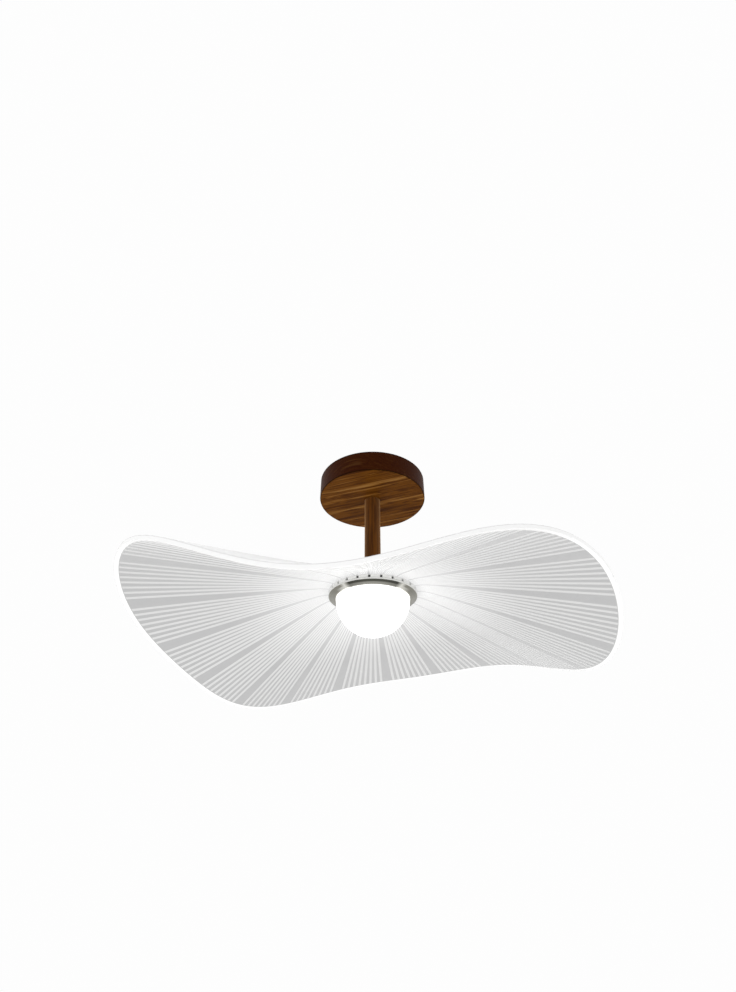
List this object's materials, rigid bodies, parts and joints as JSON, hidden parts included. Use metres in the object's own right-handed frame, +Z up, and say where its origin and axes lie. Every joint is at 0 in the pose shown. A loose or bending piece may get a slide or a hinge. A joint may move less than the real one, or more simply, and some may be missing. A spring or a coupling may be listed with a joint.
{
  "type": "semi-flush ceiling light",
  "caption": "Semi-flush ceiling light: a walnut canopy and stem carry a wavy, edge-lit acrylic leaf shade with an opal dome on a twist lock at its centre.",
  "frame": {"origin": "on the stem's axis, in the ceiling plane, midway between the two ceiling fixing holes", "axes": "+Z up into the ceiling along the stem, +X to the right of the picture's viewer and along the line of the fixing holes, +Y away from that viewer"},
  "size_m": [0.4569, 0.4339, 0.2192],
  "materials": {
    "walnut": "oiled, turned",
    "nickel": "satin nickel plate, brushed",
    "acrylic": "clear sheet with etched lines",
    "opal": "opal, satin",
    "zinc_steel": "zinc plated, pressed",
    "aluminium": "turned",
    "white_board": "white solder mask",
    "dark_strip": "dark flexible board",
    "emitter": "phosphor resin",
    "silicone": "clear silicone",
    "black_rubber": "moulded",
    "driver_case": "moulded white case",
    "nylon": "moulded nylon",
    "brass": "turned",
    "foam": "foam tape",
    "lead_sheath": "extruded white PVC"
  },
  "bodies": {
    "hanger": {"ceiling_plate": "zinc_steel", "grip_band": "zinc_steel", "stem_cup": "zinc_steel", "cable_grommet": "black_rubber", "earth_screw": "brass", "led_driver": "driver_case", "driver_pad": "foam", "terminal_block": "nylon", "terminal_screws": "brass", "input_lead": "lead_sheath", "stem_lead": "lead_sheath", "stem_tube": "zinc_steel", "stem_nut": "zinc_steel", "stem_washer": "zinc_steel", "stem_sleeve": "walnut", "hub_cap": "nickel", "heat_sink": "aluminium", "hub_nut": "zinc_steel", "edge_strip": "dark_strip", "edge_emitters": "emitter", "strip_jumper": "lead_sheath", "upper_gasket": "silicone", "shade": "acrylic", "lower_gasket": "silicone", "clamp_ring": "nickel", "ring_screws": "zinc_steel", "downlight_board": "white_board", "downlight_chips": "emitter", "board_screws": "zinc_steel", "board_connector": "nylon"},
    "canopy_cover": {"canopy": "walnut", "canopy_inserts": "brass", "canopy_grub_screws": "zinc_steel"},
    "dome_diffuser": {"dome": "opal"}
  },
  "joints": [
    {"name": "canopy_slide", "type": "slide", "parent": "hanger", "child": "canopy_cover", "axis": [0, 0, 1], "range_m": [-0.09, 0]},
    {"name": "dome_twist", "type": "hinge", "parent": "hanger", "child": "dome_diffuser", "pos_m": [0, 0, -0.1466], "axis": [0, 0, 1], "range_deg": [0, 32]}
  ]
}
